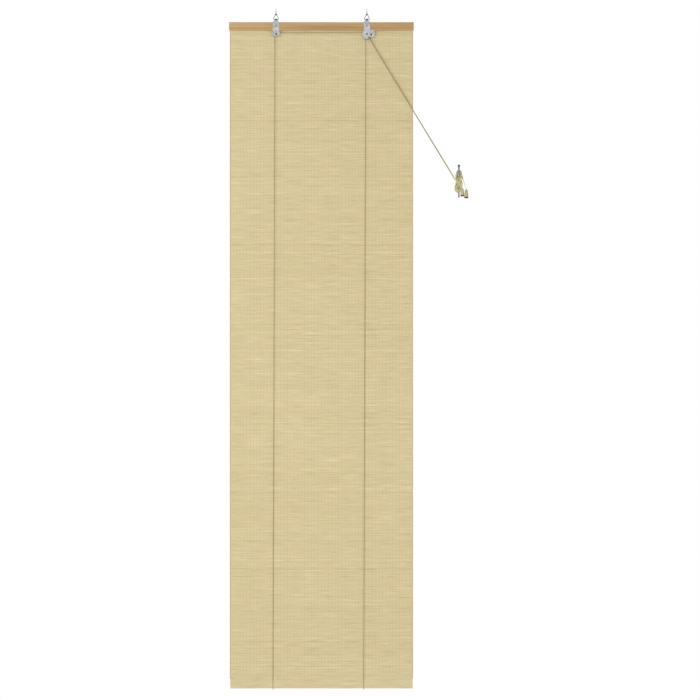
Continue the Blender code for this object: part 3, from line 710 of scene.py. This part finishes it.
def lift_cords():
    """The front and back legs, and the slings under the roll."""
    front_low = FRONT_Y - CORD_OFF
    back_low = FRONT_Y + ROLL_REST_T + CORD_OFF
    for name, top in LEG_TOP.items():
        x = LEG_X_LOW[name]
        foot = (x, front_low, ROLL_Z)
        leg = tube_mesh(f"{name}_front_cord", straight(top, foot), CORD_R, SHADED_CORD, 10)
        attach(leg, "blind")
        squash_leg(leg)
        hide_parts(f"{name}_front_leg")
        head = (top[0], BACK_TOP_Y, BACK_TOP_Z)
        foot = (x, back_low, ROLL_Z + HUG)
        leg = tube_mesh(f"{name}_back_cord", straight(head, foot), CORD_R, SHADED_CORD, 10)
        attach(leg, "blind")
        squash_leg(leg)
        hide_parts(f"{name}_back_leg")
        path = []
        for k in range(49):
            phi = math.pi * k / 48
            r = ROLL_R + CORD_OFF
            y = rest_y(ROLL_R - r * math.cos(phi))
            path.append((x, FRONT_Y + y, ROLL_Z - (r + 0.002) * math.sin(phi)))
        path += [(x, back_low, ROLL_Z + HUG * k / 5) for k in range(1, 6)]
        sling = tube_mesh(f"{name}_hem_cord", path, CORD_R, SHADED_CORD, 10)
        blend_roll(sling)
        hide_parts(f"{name}_sling")


def rest_y(y_final):
    """Depth at rest of a point that ends y_final behind the front plane once the roll is full."""
    if y_final <= 0:
        return y_final
    if y_final >= ROLL_REST_T + GROWTH:
        return y_final - GROWTH
    low, high = 0.0, ROLL_REST_T
    for _ in range(40):
        mid = (low + high) / 2
        if mid + GROWTH * smoothstep(mid / ROLL_REST_T) < y_final:
            low = mid
        else:
            high = mid
    return (low + high) / 2


def blend_roll(ob):
    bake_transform(ob)


def guide_cords():
    """The two cords over the pulleys, on smooth curves through the CAD's route."""
    def arc(cx, cz, r, start, end, n):
        angles = [math.radians(start + (end - start) * k / n) for k in range(n + 1)]
        return [(cx + r * math.cos(t), cz + r * math.sin(t)) for t in angles]

    left_top = (LEFT_PULLEY[0], LEFT_PULLEY[1] + LEFT_PITCH)
    right_top = (GUIDE_PULLEY[0], GUIDE_PULLEY[1] + GUIDE_PITCH)
    exit_x = GUIDE_PULLEY[0] + GUIDE_PITCH
    run = [(LEG_TOP["left"][0], CORD_Y_MID, LEG_TOP["left"][2] + 0.0003)]
    run += [(x, CORD_Y_MID, z) for x, z in arc(*LEFT_PULLEY, LEFT_PITCH, 180, 90, 10)]
    for k in range(1, STRAIGHT_STEPS):
        t = k / STRAIGHT_STEPS
        run.append((left_top[0] + (right_top[0] - left_top[0]) * t,
                    CORD_Y_MID + (CORD_Y_NEAR - CORD_Y_MID) * t,
                    left_top[1] + (right_top[1] - left_top[1]) * t))
    run += [(x, CORD_Y_NEAR, z) for x, z in arc(*GUIDE_PULLEY, GUIDE_PITCH, 90, 0, 10)]
    run.append((exit_x, CORD_Y_NEAR, CORD_EXIT_Z))
    turn = [(LEG_TOP["right"][0], CORD_Y_FAR, LEG_TOP["right"][2] + 0.0003)]
    turn += [(x, CORD_Y_FAR, z) for x, z in arc(*GUIDE_PULLEY, GUIDE_PITCH, 180, 0, 20)]
    turn.append((exit_x, CORD_Y_FAR, CORD_EXIT_Z))
    for name, path, node in (("rail_cord", run, "lift_cord_run"),
                             ("lock_cord", turn, "lift_cord_turn")):
        ob = tube_mesh(name, path, CORD_R, SHADED_CORD)
        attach(ob, "blind")
        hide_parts(node)


lift_cords()
guide_cords()

# ---------------------------------------------------------------- curtain
SLAT_WIDTHS = (0.0017, 0.0034)
SLATS = []
z_cursor = TOP_Z
while z_cursor > ROLL_Z + 1e-6:
    width = rng.uniform(*SLAT_WIDTHS)
    SLATS.append((z_cursor, max(z_cursor - width, ROLL_Z)))
    z_cursor -= width
X_STEPS = 16
GROOVE = 0.00028
PAINTED_LIGHT_UNDER_RAIL = 0.0045    # height of the slats just under the rail whose tone is raised: painted light over the rail's shadow


def slat_tone():
    """A slat's tone about 0.5, with one in twenty much lighter or darker."""
    tone = 0.5 + rng.gauss(0, 0.075)
    if rng.random() < 0.05:
        tone += rng.choice((-1, 1)) * rng.uniform(0.1, 0.25)
    return tone


def curtain_part(name, slats):
    """Slats as shallow ridges on both faces of one closed sheet."""
    verts, tones, rows = [], [], []
    xs = [-CURTAIN_HALF + 2 * CURTAIN_HALF * k / X_STEPS for k in range(X_STEPS + 1)]
    count = len(xs)
    for n, (top, low) in enumerate(slats):
        height = top - low
        # slats just under the rail get 0.5 more tone: painted light that lifts the rail's shadow
        tone = slat_tone() + (0.5 if RAIL_LOW.z - PAINTED_LIGHT_UNDER_RAIL < low < RAIL_LOW.z else 0.0)
        tilt = [tone + rng.gauss(0, 0.06) for _ in xs]
        proud = rng.uniform(0.0, 0.00012)
        lines = [(top, GROOVE), (top - 0.22 * height, proud), (top - 0.78 * height, proud)]
        if n == len(slats) - 1:
            lines.append((low, GROOVE))
        for z, depth in lines:
            rows.append(len(verts))
            sag = [0.00012 * math.sin(37.0 * x + n * 1.7) for x in xs]
            for x, s in zip(xs, sag):
                verts.append((x, FRONT_Y + depth, z + s))
            for x, s in zip(reversed(xs), reversed(sag)):
                verts.append((x, BACK_Y - depth, z + s))
            tones += tilt + list(reversed(tilt))
    ring = 2 * count
    faces = closed_grid(len(rows), ring, True)
    last = (len(rows) - 1) * ring
    for c in range(count - 1):
        faces.append((c, ring - 1 - c, ring - 2 - c, c + 1))
        faces.append((last + c, last + c + 1, last + ring - 2 - c, last + ring - 1 - c))
    return piece(name, verts, faces, BAMBOO, tones)


def strip_rows(top, low, step):
    """Heights from top to low, about step apart."""
    count = max(2, round((top - low) / step))
    return [top + (low - top) * k / count for k in range(count + 1)]


STITCH, STITCH_RIDGE = 0.0011, 0.00022
BINDING_WIDTH, BINDING_PROUD = 0.0036, 0.00042


def binding_part(name, sign, top, low):
    """Overlocked thread wrapped round the curtain's edge, ridged at each stitch."""
    verts = []
    zs = strip_rows(top, low, STITCH)
    inner = BINDING_HALF - BINDING_WIDTH
    for n, z in enumerate(zs):
        lift = STITCH_RIDGE if n % 2 else 0.0
        front, back = FRONT_Y - BINDING_PROUD - lift, BACK_Y + BINDING_PROUD + lift
        outline = [(inner, FRONT_Y + 0.0001), (inner + 0.0004, front),
                   (BINDING_HALF - 0.0007, front),
                   (BINDING_HALF - 0.0001, FRONT_Y + 0.0002), (BINDING_HALF, 0.0004),
                   (BINDING_HALF - 0.0001, BACK_Y - 0.0002), (BINDING_HALF - 0.0007, back),
                   (inner + 0.0004, back), (inner, BACK_Y - 0.0001)]
        verts += [(sign * x, y, z + 0.0003 * (x - inner) / BINDING_WIDTH) for x, y in outline]
    size = len(outline)
    faces = closed_grid(len(zs), size, True)
    last = (len(zs) - 1) * size
    faces.append(tuple(range(size))[::-1])
    faces.append(tuple(range(last, last + size)))
    if sign < 0:
        faces = [f[::-1] for f in faces]
    return piece(name, verts, faces, THREAD, smooth=60)


WARP_PITCH, WARP_R, WARP_SUNK = 0.0112, 0.00022, 0.00012


def warp_part(name, top, low):
    """The warp: thin stitched threads down both faces."""
    verts, faces = [], []
    zs = strip_rows(top, low, 0.012)
    count = int(2 * (CURTAIN_HALF - 0.006) / WARP_PITCH)
    for side, y in ((-1, FRONT_Y), (1, BACK_Y)):
        for n in range(count + 1):
            x0 = -count * WARP_PITCH / 2 + n * WARP_PITCH
            base = len(verts)
            wander = rng.uniform(0, 6.28)
            for z in zs:
                x = x0 + 0.0003 * math.sin(z * 9 + wander)
                for dx, dy in ((-WARP_R, 0.0), (0.0, WARP_R), (WARP_R, 0.0), (0.0, -WARP_SUNK)):
                    verts.append((x + dx, y + side * dy, z))
            for r in range(len(zs) - 1):
                for c in range(4):
                    d = (c + 1) % 4
                    quad = (base + r * 4 + c, base + r * 4 + d, base + r * 4 + 4 + d,
                            base + r * 4 + 4 + c)
                    faces.append(quad if side < 0 else quad[::-1])
            ends = (base, base + 1, base + 2, base + 3)
            last = base + (len(zs) - 1) * 4
            lasts = (last + 3, last + 2, last + 1, last)
            faces.append(ends[::-1] if side < 0 else ends)
            faces.append(lasts[::-1] if side < 0 else lasts)
    return piece(name, verts, faces, THREAD)


def recalculated(ob):
    bm = bmesh.new()
    bm.from_mesh(ob.data)
    bmesh.ops.recalc_face_normals(bm, faces=bm.faces)
    bm.to_mesh(ob.data)
    bm.free()
    return ob


def curtain():
    """The hung part in two lengths, a top one and a main one; the main pieces get meshes of their
    own.
    """
    upper = [s for s in SLATS if s[0] > SPLIT_Z]
    lower = [s for s in SLATS if s[0] <= SPLIT_Z]
    split = lower[0][0]
    parts = {"curtain_top": curtain_part("curtain_top", upper),
             "curtain_main": curtain_part("curtain_main", lower)}
    for edge, sign in (("left", -1), ("right", 1)):
        for half, top, low in (("top", BINDING_TOP, split), ("main", split, ROLL_Z)):
            name = f"{edge}_binding_{half}"
            parts[name] = binding_part(name, sign, top, low)
    parts["warp_top"] = warp_part("warp_top", TOP_Z - 0.001, split)
    parts["warp_main"] = warp_part("warp_main", split, ROLL_Z)
    for name, ob in parts.items():
        recalculated(ob)
        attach(ob, "blind")
        if name.endswith("main"):
            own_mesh(ob)
    for half in ("top", "main"):
        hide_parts("curtain")
        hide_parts("left_edge_binding")
        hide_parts("right_edge_binding")
    return parts, split


def hem_roll():
    """The curtain's end, wound in a spiral, flat behind the hem at rest."""
    pitch, thick, slack, core = 0.00165, 0.0012, 0.004, 0.004
    turns = int((ROLL_R - slack - core) / pitch)
    stations = []
    phi = 0.0
    while phi < 2 * math.pi:
        width = rng.uniform(*SLAT_WIDTHS)
        span = width / ROLL_R
        tone = slat_tone()
        for part, depth in ((0.0, GROOVE), (0.25, 0.0), (0.75, 0.0)):
            stations.append((phi + span * part, depth, tone))
        phi += span
    phi = stations[-1][0]
    while phi < 2 * math.pi * turns:
        phi += math.pi / 14
        stations.append((phi, 0.0 if len(stations) % 2 else 0.0001, 0.45 + rng.gauss(0, 0.08)))
    xs = [-CURTAIN_HALF + 2 * CURTAIN_HALF * k / X_STEPS for k in range(X_STEPS + 1)]
    verts, tones = [], []
    for phi, depth, tone in stations:
        r = ROLL_R - pitch * phi / (2 * math.pi) - slack * smoothstep((phi - math.pi) / math.pi)
        across = []
        for radius in (r - depth, r - thick + depth):
            y = ROLL_R - radius * math.cos(phi)
            across.append((FRONT_Y + rest_y(y), ROLL_Z - radius * math.sin(phi)))
        verts += [(x, *across[0]) for x in xs] + [(x, *across[1]) for x in reversed(xs)]
        tones += [tone] * (2 * len(xs))
    ring = 2 * len(xs)
    faces = closed_grid(len(stations), ring, True)
    last = (len(stations) - 1) * ring
    for c in range(len(xs) - 1):
        faces.append((c, ring - 1 - c, ring - 2 - c, c + 1))
        faces.append((last + c, last + c + 1, last + ring - 2 - c, last + ring - 1 - c))
    ob = recalculated(piece("hem_roll", verts, faces, BAMBOO, tones))
    blend_roll(ob)
    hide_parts("hem_front", "hem_back")
    return ob


made, split_z = curtain()
made["roll"] = hem_roll()

# ---------------------------------------------------------------- carried-over CAD nodes
NODE_LOOKS = {
    "head_rail": RAIL, "left_bracket": ZINC, "right_bracket": ZINC, "left_ring": RING,
    "right_ring": RING, "left_hook": DARK, "right_hook": DARK, "left_pulley_pin": RIVET,
    "guide_pulley_pin": RIVET, "lock_pin": RIVET, "left_bracket_screw": WIRE,
    "right_bracket_screw": WIRE, "left_pulley": NYLON, "guide_pulley": NYLON, "lock_roller": WIRE,
    "cleat": STEEL, "cleat_screw_upper": RIVET, "cleat_screw_lower": RIVET,
    "core_sleeve": THREAD, "core_rod": TURNED, "left_anchor_staple": WIRE,
    "right_anchor_staple": WIRE, "left_end_knot": SHADED_CORD, "right_end_knot": SHADED_CORD,
}
NODE_LOOKS.update({f"rail_staple_{k}": WIRE for k in range(1, 6)})
for node_name, material in NODE_LOOKS.items():
    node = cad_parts[node_name]
    if node.material_slots:
        node.material_slots[0].material = material
    else:
        node.data.materials.append(material)


# ---------------------------------------------------------------- stage and light
def floor():
    """A pale floor whose far edge stays just under the photo's view."""
    size, far, z = 9.0, 3.9, -2.95
    look = Look("floor", roughness=0.8)
    patches = look.noise(look.place(), 3.0)
    look.colour(look.mix(patches, linear(236, 236, 234), linear(242, 242, 240)))
    mesh = bpy.data.meshes.new("floor")
    mesh.from_pydata([(-size, -size, z), (size, -size, z), (size, far, z), (-size, far, z)], [],
                     [(0, 1, 2, 3)])
    mesh.materials.append(look.mat)
    ob = bpy.data.objects.new("floor", mesh)
    bpy.context.scene.collection.objects.link(ob)


AROUND, FRONT_POWER, KEY_POWER, BACK_POWER = 0.55, 122.0, 24.0, 60.0
AIM = (0.1, 0.0, -1.0)


def area_light(name, place, target, size, power):
    light = bpy.data.lights.new(name, "AREA")
    light.size, light.energy = size, power
    ob = bpy.data.objects.new(name, light)
    ob.location = place
    ob.rotation_euler = (Vector(target) - Vector(place)).to_track_quat("-Z", "Y").to_euler()
    bpy.context.scene.collection.objects.link(ob)
    return ob


def lighting():
    """A white studio: full white behind the object, softer light from all round, frontal lamps."""
    world = bpy.data.worlds.new("studio")
    bpy.context.scene.world = world
    world.use_nodes = True
    nodes, links = world.node_tree.nodes, world.node_tree.links
    around = nodes["Background"]
    around.inputs["Color"].default_value = (1.0, 1.0, 1.0, 1.0)
    around.inputs["Strength"].default_value = AROUND
    behind = nodes.new("ShaderNodeBackground")
    behind.inputs["Color"].default_value = (1.0, 1.0, 1.0, 1.0)
    mix, seen = nodes.new("ShaderNodeMixShader"), nodes.new("ShaderNodeLightPath")
    links.new(seen.outputs["Is Diffuse Ray"], mix.inputs[0])
    links.new(behind.outputs[0], mix.inputs[1])
    links.new(around.outputs[0], mix.inputs[2])
    links.new(mix.outputs[0], nodes["World Output"].inputs["Surface"])
    front_light = area_light("front", (-0.3, -4.9, -1.5), AIM, 3.0, FRONT_POWER)
    back_light = area_light("back", (1.6, 4.2, -0.6), AIM, 3.0, BACK_POWER)
    for light in (front_light, back_light):
        light.visible_glossy = False
        light.visible_camera = False
    area_light("key", (-2.2, -2.8, -0.3), (0.0, 0.0, -1.0), 1.2, KEY_POWER)
    bpy.context.scene.view_settings.view_transform = "Standard"


floor()
lighting()
